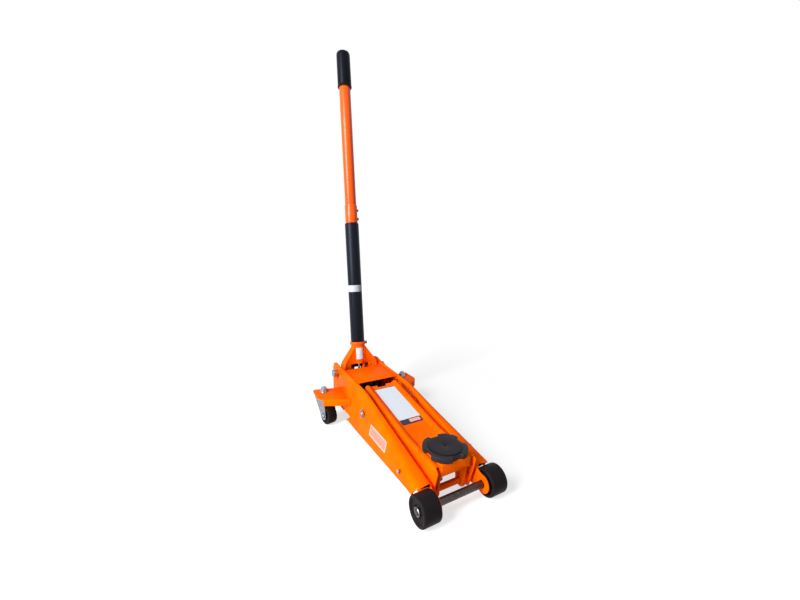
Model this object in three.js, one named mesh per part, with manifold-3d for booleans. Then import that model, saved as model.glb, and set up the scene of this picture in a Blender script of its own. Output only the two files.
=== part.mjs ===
// A hydraulic trolley jack for cars: a pressed-steel chassis on two front wheels and two
// rear swivel casters, a lift arm with a levelling saddle, a ram in the middle and a long
// pump handle at the back.
//
// X runs forward to the saddle end, Y to the jack's left, Z up. While the pieces are drawn,
// x = 0 is the front axle and z = 0 the floor; the whole jack is then moved by ORIGIN_SHIFT
// so that the origin lies on the floor under the middle of the overall box.

import * as THREE from 'three';
import { mergeVertices } from 'three/addons/utils/BufferGeometryUtils.js';
import Module from 'manifold-3d';

// ---- Driving dimensions, in millimetres and degrees ----

const ORIGIN_SHIFT = 370.59;
const GAP = 0.3;                                  // between pieces that touch

const SHEET = 5;                                  // thickness of the chassis pressings
const WHEEL = { radius: 36, inner: 76, outer: 124 };
const AXLE_RADIUS = 9;

const SIDE = {                                    // one side plate, |y| measured outwards
  rearX: -680, hump: { x: -375, y: 86, z: 161 }, front: { x: -28, y: 112, z: 75 },
  rearTopZ: 173, humpEase: 25, skirtY: 115, rearY: 86, flareFrom: -568, flareTo: -464,
  rearSkirtZ: 39, tabZ: 34, middleSkirtZ: 37, frontSkirtZ: 49,
  endX: -20, lipInner: 75, webInner: 69, noseRadius: 23.5, wheelClearance: 4,
};

const ARM_PIVOT = { x: -352, z: 104 };
const PIVOT_RADIUS = 10;
const BOLSTER_PIN = { x: -48, z: 28, radius: 8 };
const LINK_OFFSET = { x: -6.8, z: 20.5 };         // from either main pin to its link pin
const LINK = { y: -28, pin: 4.5, eye: 7.8, rod: 6 };
const ARM = {
  half: 60, crest: 48, recess: 38, sheet: 4, sunk: 7, rearX: -426, openX: -128, frontX: -12,
  level: 110, slope: 0.182, knee: -155, ease: 30,   // the top slopes down to a level run
};
const ARM_TRAVEL = 68;                            // degrees from lowered to fully raised
const CRANK_RADIUS = 58;

const SADDLE = { x: -64, bottom: 113, top: 127.5, radius: 58.3, notch: 47, lobe: 0.5 };

const CYLINDER = { z: 46, radius: 32, frontX: -446, rearX: -570, rod: 12 };

const GUARD_SCREW = { x: -99, z: 71, radius: 3 };
const UNIT_BOLT = { x: -552, z: 50, radius: 6 };

const SOCKET_PIVOT = { x: -621, z: 143, radius: 8 };
const SOCKET = { half: 64.5, knee: 29, top: 95, sheet: 6, panel: 19, barrel: 26 };
const HANDLE_LEAN = 6.4;                          // degrees back from upright at rest
const PUMP_TRAVEL = 60;
const ROLLER = { y: 26, drop: 22, radius: 9 };
const PLUNGER = { radius: 6, head: 8, length: 34 };

const HANDLE = { tube: 20.7, foam: 26, grip: 25.2, wall: 2.4 };

const CASTER = {
  x: -562, y: 160, trail: 29, turn: 13, radius: 32, halfWidth: 16.5, disc: 30, leg: 3,
};
const BRACKET = { top: 106, sheet: 4, flangeZ: 83 };

const rad = THREE.MathUtils.degToRad;
const lerp = THREE.MathUtils.lerp;
const clamp = THREE.MathUtils.clamp;

// ---- Materials ----

function finish(color, roughness, metalness) {
  return new THREE.MeshStandardMaterial({ color, roughness, metalness });
}

const ORANGE = finish(0xff6a0c, 0.38, 0.0);
const BLACK_RUBBER = finish(0x1b1a1e, 0.75, 0.0);
const FOAM = finish(0x2c2d33, 0.95, 0.0);
const DARK_CAST = finish(0x35302f, 0.6, 0.3);
const BARE_STEEL = finish(0x6d6661, 0.45, 0.9);
const ZINC = finish(0xb9bac2, 0.35, 0.9);
const WHEEL_NYLON = finish(0x2a2527, 0.6, 0.0);
const BLACK_OXIDE = finish(0x202024, 0.5, 0.6);

// ---- Solids: closed meshes joined and cut ----

const wasm = await Module();
wasm.setup();

// The signed volume of a closed triangle mesh; negative when its faces point inwards.
function signedVolume(geometry) {
  const p = geometry.attributes.position;
  const [a, b, c] = [new THREE.Vector3(), new THREE.Vector3(), new THREE.Vector3()];
  let sum = 0;
  for (let i = 0; i < geometry.index.count; i += 3) {
    a.fromBufferAttribute(p, geometry.index.getX(i));
    b.fromBufferAttribute(p, geometry.index.getX(i + 1));
    c.fromBufferAttribute(p, geometry.index.getX(i + 2));
    sum += a.dot(b.cross(c)) / 6;
  }
  return sum;
}

// Only positions, with shared corners merged and the faces turned outwards.
function closed(geometry) {
  const bare = geometry.clone();
  for (const name of Object.keys(bare.attributes)) {
    if (name !== 'position') bare.deleteAttribute(name);
  }
  const merged = mergeVertices(bare, 1e-4);
  if (signedVolume(merged) < 0) {
    const index = merged.index.array;
    for (let i = 0; i < index.length; i += 3) {
      [index[i], index[i + 1]] = [index[i + 1], index[i]];
    }
  }
  return merged;
}

function toSolid(geometry) {
  const merged = closed(geometry);
  return new wasm.Manifold(new wasm.Mesh({
    numProp: 3,
    vertProperties: Float32Array.from(merged.attributes.position.array),
    triVerts: Uint32Array.from(merged.index.array),
  }));
}

function toGeometry(solid) {
  const mesh = solid.getMesh();
  const geometry = new THREE.BufferGeometry();
  geometry.setAttribute('position', new THREE.BufferAttribute(new Float32Array(mesh.vertProperties), 3));
  geometry.setIndex(new THREE.BufferAttribute(new Uint32Array(mesh.triVerts), 1));
  return geometry;
}

function join(...geometries) {
  return toGeometry(geometries.map(toSolid).reduce((all, one) => all.add(one)));
}

function cut(geometry, ...tools) {
  return toGeometry(tools.map(toSolid).reduce((rest, tool) => rest.subtract(tool), toSolid(geometry)));
}

function common(first, second) {
  return toGeometry(toSolid(first).intersect(toSolid(second)));
}

// ---- Shape helpers ----

function outline(points) {
  return new THREE.Shape(points.map(([a, b]) => new THREE.Vector2(a, b)));
}

function extruded(shape, depth, segments) {
  return new THREE.ExtrudeGeometry(shape, { depth, bevelEnabled: false, curveSegments: segments });
}

// A flat plate drawn in (x, z) and reaching from y = from to y = to.
function plateXZ(shape, from, to, segments = 10) {
  return extruded(shape, to - from, segments).rotateX(Math.PI / 2).translate(0, to, 0);
}

// A flat plate drawn in (x, y) and reaching from z = from to z = to.
function plateXY(shape, from, to, segments = 10) {
  return extruded(shape, to - from, segments).translate(0, 0, from);
}

// A flat plate drawn in (y, z) and reaching from x = from to x = to.
function plateYZ(shape, from, to, segments = 10) {
  const basis = new THREE.Matrix4().makeBasis(
    new THREE.Vector3(0, 1, 0), new THREE.Vector3(0, 0, 1), new THREE.Vector3(1, 0, 0));
  return extruded(shape, to - from, segments).applyMatrix4(basis).translate(from, 0, 0);
}

// A turned piece: [radius, distance along the axis] points, closed on the axis or on itself.
function turned(profile, axis, segments = 28) {
  const points = profile.map(([r, along]) => new THREE.Vector2(r, along));
  const geometry = new THREE.LatheGeometry(points, segments);
  if (axis === 'x') geometry.rotateZ(-Math.PI / 2);
  if (axis === 'z') geometry.rotateX(Math.PI / 2);
  return geometry;
}

function bar(radius, from, to, axis, segments = 20) {
  return turned([[0, from], [radius, from], [radius, to], [0, to]], axis, segments);
}

// A ring or tube about an axis.
function tube(inner, outer, from, to, axis, segments = 28) {
  return turned([[inner, from], [outer, from], [outer, to], [inner, to], [inner, from]], axis, segments);
}

function hexagon(acrossFlats, from, to, axis) {
  return bar(acrossFlats / Math.sqrt(3), from, to, axis, 6);
}

function box(x, y, z) {
  const geometry = new THREE.BoxGeometry(x[1] - x[0], y[1] - y[0], z[1] - z[0]);
  return geometry.translate((x[0] + x[1]) / 2, (y[0] + y[1]) / 2, (z[0] + z[1]) / 2);
}

function mirrored(geometry) {
  return closed(geometry.clone().scale(1, -1, 1));
}

// A rounded corner for each inner point of an open line, as a few points on a smooth bend.
function filleted(corners, radii, steps = 3) {
  const points = [corners[0].clone()];
  for (let i = 1; i < corners.length - 1; i++) {
    const before = corners[i - 1].clone().sub(corners[i]).setLength(radii[i - 1]).add(corners[i]);
    const after = corners[i + 1].clone().sub(corners[i]).setLength(radii[i - 1]).add(corners[i]);
    points.push(...new THREE.QuadraticBezierCurve(before, corners[i], after).getPoints(steps));
  }
  points.push(corners[corners.length - 1].clone());
  return points;
}

// The closed section of sheet metal that follows a line, half the thickness on either side.
function ribbon(line, thickness) {
  const left = [];
  const right = [];
  for (let i = 0; i < line.length; i++) {
    const into = line[i].clone().sub(line[Math.max(i - 1, 0)]).normalize();
    const out = line[Math.min(i + 1, line.length - 1)].clone().sub(line[i]).normalize();
    const along = into.clone().add(out).normalize();
    const miter = into.lengthSq() === 0 ? 1 : Math.max(along.dot(into), 0.5);
    const normal = new THREE.Vector2(-along.y, along.x).multiplyScalar(thickness / 2 / miter);
    left.push(line[i].clone().add(normal));
    right.unshift(line[i].clone().sub(normal));
  }
  return left.concat(right);
}

// A solid through sections in (y, z) that stand at rising x, all with the same point count.
function loft(stations) {
  const count = stations[0].ring.length;
  const area = THREE.ShapeUtils.area(stations[0].ring);
  const rings = stations.map(({ x, ring }) => {
    const ordered = area < 0 ? [...ring].reverse() : ring;
    return ordered.map((p) => [x, p.x, p.y]);
  });
  const position = rings.flat(2);
  const index = [];
  for (let i = 0; i < rings.length - 1; i++) {
    for (let j = 0; j < count; j++) {
      const next = (j + 1) % count;
      const [a, b, c, d] = [i * count + j, i * count + next, (i + 1) * count + next, (i + 1) * count + j];
      index.push(a, b, c, a, c, d);
    }
  }
  for (const [first, facing] of [[0, -1], [(rings.length - 1) * count, 1]]) {
    const contour = rings[first / count].map(([, y, z]) => new THREE.Vector2(y, z));
    for (const [a, b, c] of THREE.ShapeUtils.triangulateShape(contour, [])) {
      const turn = Math.sign(contour[b].clone().sub(contour[a]).cross(contour[c].clone().sub(contour[a])));
      if (turn === facing) index.push(first + a, first + b, first + c);
      else index.push(first + a, first + c, first + b);
    }
  }
  const geometry = new THREE.BufferGeometry();
  geometry.setAttribute('position', new THREE.Float32BufferAttribute(position, 3));
  geometry.setIndex(index);
  return geometry;
}

// ---- The jack as a scene graph ----

const jack = new THREE.Group();
jack.position.x = ORIGIN_SHIFT;

function add(name, geometry, material, parent = jack) {
  const mesh = new THREE.Mesh(closed(geometry), material);
  mesh.name = name;
  parent.add(mesh);
  return mesh;
}

// Adds a left piece drawn on the +Y side and its mirror image on the right.
function addPair(name, geometry, material) {
  add(`left_${name}`, geometry, material);
  add(`right_${name}`, mirrored(geometry), material);
}

// ---- Side plates ----
// One pressing each: a flat rear cheek, a skirt that flares outwards ahead of the casters,
// a top flange that widens towards the front wheels, and an inner web that carries the axle.

function sideTop(x) {
  const { hump, front, rearTopZ, rearX, humpEase } = SIDE;
  const behind = (rearTopZ - hump.z) / (hump.x - rearX);
  const ahead = (hump.z - front.z) / (front.x - hump.x);
  const past = x - hump.x;
  const turn = Math.abs(past) < humpEase ? (past + humpEase) ** 2 / (4 * humpEase) : Math.max(0, past);
  return hump.z - behind * past - (ahead - behind) * turn;
}

// The lower edge: high under the casters, a small foot, then rising to the front.
function skirtBottom(x) {
  if (x < -471) return SIDE.rearSkirtZ;
  if (x < -455) return SIDE.tabZ;
  return lerp(SIDE.middleSkirtZ, SIDE.frontSkirtZ, clamp((x + 387) / 327, 0, 1));
}

function sideSection(x) {
  const { hump, front } = SIDE;
  const ahead = clamp((x - hump.x) / (front.x - hump.x), 0, 1);
  const flare = Math.sin(clamp((x - SIDE.flareFrom) / (SIDE.flareTo - SIDE.flareFrom), 0, 1) * Math.PI / 2);
  const half = SHEET / 2;
  const bottomY = lerp(SIDE.rearY, SIDE.skirtY, flare) - half;
  const topY = lerp(hump.y, front.y, ahead) - half;
  const topZ = sideTop(x) - half;
  const innerY = lerp(SIDE.lipInner, SIDE.webInner, ahead) + half;
  const webDepth = clamp((x + 310) / 220, 0, 1);
  const webZ = lerp(topZ - 11, 20, webDepth * webDepth * (3 - 2 * webDepth));
  const outerBend = Math.min(12, (topY - innerY) * 0.7);
  const innerBend = Math.min(6, (topY - innerY) * 0.25);
  const corners = [[bottomY, skirtBottom(x)], [topY, topZ], [innerY, topZ], [innerY, webZ]];
  const line = filleted(corners.map(([y, z]) => new THREE.Vector2(y, z)), [outerBend, innerBend], 3);
  return { x, ring: ribbon(line, SHEET) };
}

// The nose of the web: a neck that drops from the flange and a round boss about the axle.
function nosePlate() {
  const top = WHEEL.radius + SIDE.noseRadius;
  const shape = new THREE.Shape();
  shape.moveTo(-80, 22);
  shape.lineTo(-80, 76);
  shape.lineTo(-23, 70);
  shape.quadraticCurveTo(-17, top + 2, -4, top);
  shape.absarc(0, WHEEL.radius, SIDE.noseRadius, Math.PI / 2, -Math.PI / 2, true);
  shape.lineTo(-40, WHEEL.radius - SIDE.noseRadius + 3);
  return shape;
}

// The flat cheek behind the loft, rounded off over the socket pivot.
function cheekPlate() {
  const { rearX } = SIDE;
  const shape = new THREE.Shape();
  shape.moveTo(-566, 42);
  shape.lineTo(-566, 167);
  shape.lineTo(-606, 171);
  shape.quadraticCurveTo(-618, 176, -636, 176);
  shape.quadraticCurveTo(rearX, 176, rearX, 136);
  shape.lineTo(rearX, 62);
  shape.quadraticCurveTo(rearX, 50, rearX + 12, 48);
  return shape;
}

// The front end of the pressing, seen from above, with its outer corner rounded.
function frontEnd() {
  const { endX, skirtY } = SIDE;
  const shape = new THREE.Shape();
  shape.moveTo(-60, 60);
  shape.lineTo(endX, 60);
  shape.lineTo(endX, skirtY - 13);
  shape.quadraticCurveTo(endX, skirtY - 1, endX - 12, skirtY + 1);
  shape.lineTo(-60, skirtY + 1);
  return shape;
}

// The skirt is cut away under the caster, back to a hooked foot.
function skirtNotch() {
  return outline([[-532, 20], [-532, 38], [-520, 53], [-438, 56], [-465, 35], [-466, 20]]);
}

function sidePlate() {
  const xs = [-590, -568, -553, -538, -520, -500, -480, -471.5, -470.5, -455.5, -454.5, -425, -400,
    -387.5, -375, -362.5, -350, -310, -270, -235, -200, -165, -130, -95, -60, -38];
  const pressing = loft(xs.map(sideSection));
  const end = common(
    loft([-38.1, -28, SIDE.endX].map(sideSection)),
    plateXY(frontEnd(), 10, 100));
  const nose = plateXZ(nosePlate(), SIDE.webInner, SIDE.webInner + SHEET, 14);
  const boss = bar(19, SIDE.webInner + 1, WHEEL.inner - 1, 'y').translate(0, 0, WHEEL.radius);
  const cheek = plateXZ(cheekPlate(), SIDE.rearY - SHEET, SIDE.rearY, 8);
  const holes = [
    plateXZ(skirtNotch(), SIDE.rearY + 1, 130),
    bar(WHEEL.radius + SIDE.wheelClearance, WHEEL.inner - 0.5, 130, 'y', 40).translate(0, 0, WHEEL.radius),
    bar(AXLE_RADIUS + GAP, 50, 100, 'y').translate(0, 0, WHEEL.radius),
    bar(PIVOT_RADIUS + GAP, 50, 130, 'y').translate(ARM_PIVOT.x, 0, ARM_PIVOT.z),
    bar(SOCKET_PIVOT.radius + GAP, 60, 130, 'y', 12).translate(SOCKET_PIVOT.x, 0, SOCKET_PIVOT.z),
    bar(GUARD_SCREW.radius + GAP, 90, 130, 'y', 12).translate(GUARD_SCREW.x, 0, GUARD_SCREW.z),
    bar(UNIT_BOLT.radius + GAP, 60, 130, 'y', 12).translate(UNIT_BOLT.x, 0, UNIT_BOLT.z),
  ];
  return cut(join(pressing, end, nose, boss, cheek), ...holes);
}

addPair('side_plate', sidePlate(), ORANGE);

// ---- Front axle, wheels and hub nuts ----

function frontAxle() {
  const step = WHEEL.inner - 0.5;
  const end = WHEEL.outer + 1;
  const profile = [
    [0, -end], [8, -end], [8, -step], [AXLE_RADIUS, -step],
    [AXLE_RADIUS, step], [8, step], [8, end], [0, end],
  ];
  return turned(profile, 'y').translate(0, 0, WHEEL.radius);
}

// A solid moulded wheel with rounded shoulders, a dished web and a long hub.
function frontWheel() {
  const { radius, inner, outer } = WHEEL;
  const profile = [
    [8.4, inner + 2], [13, inner + 2], [15, inner + 8], [27, inner + 8], [29, inner], [radius - 3, inner],
    [radius, inner + 3.5], [radius, outer - 3.5], [radius - 3, outer], [29, outer], [27, outer - 5],
    [15, outer - 5], [14, outer - 8], [8.4, outer - 8], [8.4, inner + 2],
  ];
  return turned(profile, 'y', 24).translate(0, 0, radius);
}

add('front_axle', frontAxle(), BARE_STEEL);
addPair('front_wheel', frontWheel(), WHEEL_NYLON);
const hubNut = cut(
  hexagon(20, WHEEL.outer - 7.5, WHEEL.outer - 0.5, 'y'),
  bar(8 + GAP, 100, 140, 'y', 14)).translate(0, 0, WHEEL.radius);
addPair('hub_nut', hubNut, ZINC);

// ---- Casters ----

// The bracket: a flat top that sweeps back from the side plate, with a deep flange along its
// slanting front edge.
function casterBracket() {
  const inside = SIDE.rearY + GAP;
  const { top, sheet, flangeZ } = BRACKET;
  const root = { x: -458, y: 98 };
  const corner = { x: -500, y: 182 };
  const shape = new THREE.Shape();
  shape.moveTo(-574, inside);
  shape.quadraticCurveTo(-574, 112, -584, 140);
  shape.lineTo(-594, 178);
  shape.quadraticCurveTo(-597, 191, -584, 193);
  shape.lineTo(-530, 195);
  shape.quadraticCurveTo(-516, 195, corner.x, corner.y);
  shape.lineTo(root.x, root.y);
  shape.lineTo(root.x, inside);
  const length = Math.hypot(corner.x - root.x, corner.y - root.y);
  const flange = box([0, length], [0, sheet], [flangeZ, top])
    .rotateZ(Math.atan2(corner.y - root.y, corner.x - root.x))
    .translate(root.x, root.y, 0);
  const gusset = plateYZ(outline([[inside, 70], [inside, top], [130, top]]), -577, -573);
  const hole = bar(8 + GAP, 90, 120, 'z', 14).translate(CASTER.x, CASTER.y, 0);
  const clear = loft([-600, -568, -553, -538, -520, -500, -480, -466, -440].map(sideClearance));
  return cut(join(plateXY(shape, top - sheet, top, 6), flange, gusset), hole, clear);
}

// The space taken by the flared side plate, which the bracket is cut back from.
function sideClearance(x) {
  const flare = Math.sin(clamp((x - SIDE.flareFrom) / (SIDE.flareTo - SIDE.flareFrom), 0, 1) * Math.PI / 2);
  const lower = lerp(SIDE.rearY, SIDE.skirtY, flare) + 1;
  const ring = [[60, 20], [lower, 20], [lower, SIDE.rearSkirtZ], [SIDE.rearY + 1, 168], [60, 168]];
  return { x, ring: ring.map(([y, z]) => new THREE.Vector2(y, z)) };
}

// Sets a left caster's piece, drawn about its stud, in place with the wheel turned inwards.
function swivelled(geometry) {
  return geometry.rotateZ(-rad(CASTER.turn)).translate(CASTER.x, CASTER.y, 0);
}

// The swivel fork: a round top plate with two wide tapering legs that trail to the wheel.
function casterFork() {
  const under = BRACKET.top - BRACKET.sheet - GAP;
  const { trail, radius, halfWidth, disc, leg } = CASTER;
  const top = tube(8 + GAP, disc, under - 5.5, under, 'z');
  const side = new THREE.Shape();
  side.moveTo(-29, under - 1);
  side.lineTo(-27, 84);
  side.lineTo(trail - 14, radius - 5);
  side.absarc(trail, radius, 14, -2.4, 0.3, false);
  side.lineTo(trail + 10, 66);
  side.quadraticCurveTo(trail + 2, 82, 26, under - 1);
  const inner = halfWidth + 2;
  const legs = [[inner, inner + leg], [-inner - leg, -inner]].map(([a, b]) => plateXZ(side, a, b, 6));
  const hole = bar(6 + GAP, -30, 30, 'y', 12).translate(trail, 0, radius);
  return swivelled(common(cut(join(top, ...legs), hole), bar(63.3, 0, under, 'z', 26)));
}

function casterWheel() {
  const { radius, halfWidth } = CASTER;
  const profile = [
    [6.5, -halfWidth], [12, -halfWidth], [13, -halfWidth + 4], [22, -halfWidth + 4], [24, -halfWidth],
    [radius - 4, -halfWidth], [radius, -halfWidth + 4], [radius, halfWidth - 4],
    [radius - 4, halfWidth], [24, halfWidth], [22, halfWidth - 4], [13, halfWidth - 4], [12, halfWidth],
    [6.5, halfWidth], [6.5, -halfWidth],
  ];
  return swivelled(turned(profile, 'y', 24).translate(CASTER.trail, 0, radius));
}

function casterAxle() {
  const head = CASTER.halfWidth + 2 + CASTER.leg + GAP;
  const bolt = join(bar(6, -head - 1, head + 4.5, 'y', 12), hexagon(16, head, head + 3.5, 'y'),
    hexagon(16, -head - 4.5, -head, 'y'));
  return swivelled(bolt.translate(CASTER.trail, 0, CASTER.radius));
}

// The king bolt, with a tall nut above the bracket and a washer under the fork.
function casterStud() {
  const forkFloor = BRACKET.top - BRACKET.sheet - GAP - 5.5;
  const stud = join(bar(8, 88, 124, 'z', 14), hexagon(22, BRACKET.top + 2, BRACKET.top + 13, 'z'),
    bar(14, BRACKET.top + GAP, BRACKET.top + 2.1, 'z', 20), bar(14, 90, forkFloor - GAP, 'z', 14));
  return stud.translate(CASTER.x, CASTER.y, 0);
}

addPair('caster_bracket', casterBracket(), ORANGE);
addPair('caster_fork', casterFork(), ZINC);
addPair('caster_wheel', casterWheel(), WHEEL_NYLON);
addPair('caster_axle', casterAxle(), ZINC);
addPair('caster_stud', casterStud(), ZINC);

// ---- Cross members ----

const inside = SIDE.rearY - SHEET - GAP;
const basePlate = outline([[-664, -inside], [-664, inside], [-584, inside], [-567, 40], [-567, -40],
  [-584, -inside]]);
const tabs = [[inside - 4, inside], [-inside, 4 - inside]].map((y) => box([-655, -600], y, [7.5, 68]));
add('base_plate', join(plateXY(basePlate, 7.5, 13), ...tabs), ORANGE);

// The bar that the reservoir sits in, bolted between the side plates.
function unitMount() {
  const { x, z, radius } = UNIT_BOLT;
  const beam = box([x - 11, x + 11], [-inside, inside], [z - 12, z + 12]);
  const ring = bar(CYLINDER.radius + 8, x - 11, x + 11, 'x', 26).translate(0, 0, CYLINDER.z);
  const holes = [
    bar(CYLINDER.radius + GAP, x - 30, x + 30, 'x', 26).translate(0, 0, CYLINDER.z),
    bar(radius + GAP, 60, 90, 'y', 12).translate(x, 0, z),
    bar(radius + GAP, -90, -60, 'y', 12).translate(x, 0, z),
  ];
  return cut(join(beam, ring), ...holes);
}
add('unit_mount', unitMount(), BLACK_OXIDE);
addPair('unit_bolt', join(bar(UNIT_BOLT.radius, 62, 96, 'y', 14), bar(8.5, 95.9, 99.4, 'y', 20))
  .translate(UNIT_BOLT.x, 0, UNIT_BOLT.z), BLACK_OXIDE);

addPair('guard_screw', join(bar(GUARD_SCREW.radius, 96, 116, 'y', 12), bar(5.5, 115.3, 118, 'y', 12))
  .translate(GUARD_SCREW.x, 0, GUARD_SCREW.z), ZINC);

// The power-unit cover: a flat lid whose two sides are turned down.
function coverPlate() {
  const top = SIDE.hump.z + 2;
  const corners = [[-73, top - 16], [-73, top - 1.5], [73, top - 1.5], [73, top - 16]];
  const ring = ribbon(filleted(corners.map(([y, z]) => new THREE.Vector2(y, z)), [5, 5]), 3);
  return loft([-583, -450].map((x) => ({ x, ring })));
}
add('cover_plate', coverPlate(), ORANGE);

// ---- Hydraulic unit ----

// Where the pump stands at rest: the roller on the handle socket meets the plunger's head.
const rollerRest = {
  x: SOCKET_PIVOT.x - ROLLER.drop * Math.sin(rad(PUMP_TRAVEL / 2)),
  z: SOCKET_PIVOT.z - ROLLER.drop * Math.cos(rad(PUMP_TRAVEL / 2)),
};
const headX = rollerRest.x + ROLLER.radius + 0.6;
const pumpZ = SOCKET_PIVOT.z - 21;

function powerUnit() {
  const rear = -648;
  const front = -571;
  const shape = outline([[rear, 13.3], [rear, 84], [rear + 12, 96], [front - 20, 96], [front - 10, 88],
    [front, 88], [front, 13.3]]);
  const block = plateXZ(shape, -46, 46);
  const saddleRing = bar(CYLINDER.radius + 5, front - 6, front + 6, 'x', 26).translate(0, 0, CYLINDER.z + 2);
  const stroke = 2 * ROLLER.drop * Math.sin(rad(PUMP_TRAVEL / 2));
  const mouth = headX + 5 + stroke + 1.5;
  const pumpPost = box([mouth, mouth + 24], [ROLLER.y - 12, ROLLER.y + 12], [90, pumpZ]);
  const valveBore = bar(6 + GAP, 60, 140, 'z', 14).translate(SOCKET_PIVOT.x, 0, 0);
  const pipe = bar(12, mouth, mouth + 36, 'x', 24).translate(0, ROLLER.y, pumpZ);
  const bore = bar(PLUNGER.radius + GAP, -660, mouth + 30, 'x', 14).translate(0, ROLLER.y, pumpZ);
  const floor = box([-700, -500], [-60, 60], [0, 13.3]);
  return cut(join(block, saddleRing, pumpPost, pipe), valveBore, bore, floor);
}

// The reservoir tube around the ram, with a hexagon gland at its mouth.
function cylinderTube() {
  const { radius, frontX, rearX, rod } = CYLINDER;
  const profile = [
    [rod + GAP, frontX], [radius - 7, frontX], [radius - 3, frontX - 6], [radius - 3, frontX - 14],
    [radius, frontX - 16], [radius, rearX + 6], [0, rearX + 6], [0, rearX + 12], [rod + 5, rearX + 12],
    [rod + 5, frontX - 20], [rod + GAP, frontX - 20], [rod + GAP, frontX],
  ];
  return turned(profile, 'x', 26).translate(0, 0, CYLINDER.z);
}

add('power_unit', powerUnit(), BLACK_OXIDE);
add('cylinder', cylinderTube(), BLACK_OXIDE);

// A cup on the release valve, open upwards around the ball of the handle's release rod.
const cupFloor = SOCKET_PIVOT.z - 11;
const ballCup = turned([[0, 70], [6, 70], [6, cupFloor - 5], [11, cupFloor], [11, cupFloor + 9],
  [9, cupFloor + 9], [9, cupFloor + 3], [5, cupFloor + 1], [0, cupFloor]], 'z', 24)
  .translate(SOCKET_PIVOT.x, 0, 0);
add('release_valve', ballCup, ZINC);

// ---- Lift-arm pivot ----

const shaft = turned([[0, -111], [6, -111], [6, -98], [PIVOT_RADIUS, -97], [PIVOT_RADIUS, 97], [6, 98],
  [6, 111], [0, 111]], 'y');
add('pivot_shaft', shaft.translate(ARM_PIVOT.x, 0, ARM_PIVOT.z), BARE_STEEL);
const pivotNut = cut(
  join(hexagon(20, 104.2, 109.5, 'y'), bar(13, 102.6, 104.5, 'y', 20)),
  bar(6 + GAP, 90, 130, 'y', 14)).translate(ARM_PIVOT.x, 0, ARM_PIVOT.z);
addPair('pivot_nut', pivotNut, ZINC);

// A lever keyed to the fixed shaft holds the rear end of the levelling link.
function linkAnchor() {
  const reach = Math.hypot(LINK_OFFSET.x, LINK_OFFSET.z);
  const hub = PIVOT_RADIUS + 5;
  const cheek = new THREE.Shape();
  cheek.absarc(0, 0, hub, Math.PI, Math.PI * 2, false);
  cheek.absarc(0, reach, LINK.eye, 0.2, Math.PI - 0.2, false);
  const cheeks = [[9, 15], [-15, -9]].map(([a, b]) => plateXZ(cheek, a, b, 9));
  const bridge = cut(bar(hub, -10, 10, 'y'), box([-20, 20], [-20, 20], [-9, 20]));
  const holes = [
    bar(PIVOT_RADIUS + GAP, -30, 30, 'y'),
    bar(LINK.pin + GAP, -30, 30, 'y', 12).translate(0, 0, reach),
  ];
  return cut(join(...cheeks, bridge), ...holes)
    .rotateY(Math.atan2(LINK_OFFSET.x, LINK_OFFSET.z))
    .translate(ARM_PIVOT.x, LINK.y, ARM_PIVOT.z);
}
add('link_anchor', linkAnchor(), BARE_STEEL);
add('link_rear_pin', bar(LINK.pin, -17, 17, 'y', 12)
  .translate(ARM_PIVOT.x + LINK_OFFSET.x, LINK.y, ARM_PIVOT.z + LINK_OFFSET.z), ZINC);

// ---- Lift arm ----
// A pressed channel: two sides, a rounded crest along each top edge and a sunk panel between
// them. The panel ends behind the saddle, and each side ends in a round lug.

function armTop(x) {
  const { level, slope, knee, ease } = ARM;
  const behind = knee - x;
  if (behind > ease) return level + slope * behind;
  return level + slope * Math.max(0, behind + ease) ** 2 / (4 * ease);
}

function armSection(x) {
  const { half, crest, recess, sheet, sunk } = ARM;
  const top = armTop(x) - sheet / 2;
  const side = half - sheet / 2;
  const corners = [[side, -10], [side, top], [crest, top], [recess, top - sunk], [0, top - sunk]];
  const right = filleted(corners.map(([y, z]) => new THREE.Vector2(y, z)), [6, 3.8, 4], 2);
  right.pop();
  const left = right.map((p) => new THREE.Vector2(-p.x, p.y)).reverse();
  return { x, ring: ribbon([...right, ...left], sheet) };
}

function crankPin() {
  const swing = rad(ARM_TRAVEL / 2);
  return {
    x: ARM_PIVOT.x - CRANK_RADIUS * Math.sin(swing),
    z: ARM_PIVOT.z - CRANK_RADIUS * Math.cos(swing),
  };
}

// The outline of the arm seen from the side: lug, belly, crank lobe and rear end.
function armSide() {
  const pin = crankPin();
  const shape = new THREE.Shape();
  shape.moveTo(ARM.rearX, 200);
  shape.lineTo(ARM.rearX, 150);
  shape.quadraticCurveTo(ARM.rearX + 2, 100, pin.x - 14, pin.z);
  shape.absarc(pin.x, pin.z, 14, Math.PI, Math.PI * 1.75, false);
  shape.quadraticCurveTo(pin.x + 48, 66, -300, 64);
  shape.lineTo(-130, 34);
  shape.lineTo(BOLSTER_PIN.x - 8, BOLSTER_PIN.z - 15.8);
  shape.absarc(BOLSTER_PIN.x, BOLSTER_PIN.z, 17, -Math.PI * 0.6, 0, false);
  shape.lineTo(-21, 60);
  shape.lineTo(ARM.frontX, 96);
  shape.quadraticCurveTo(ARM.frontX - 2, 103.5, -30, 107);
  shape.lineTo(-46, 109.8);
  shape.lineTo(-46, 200);
  return shape;
}

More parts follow.
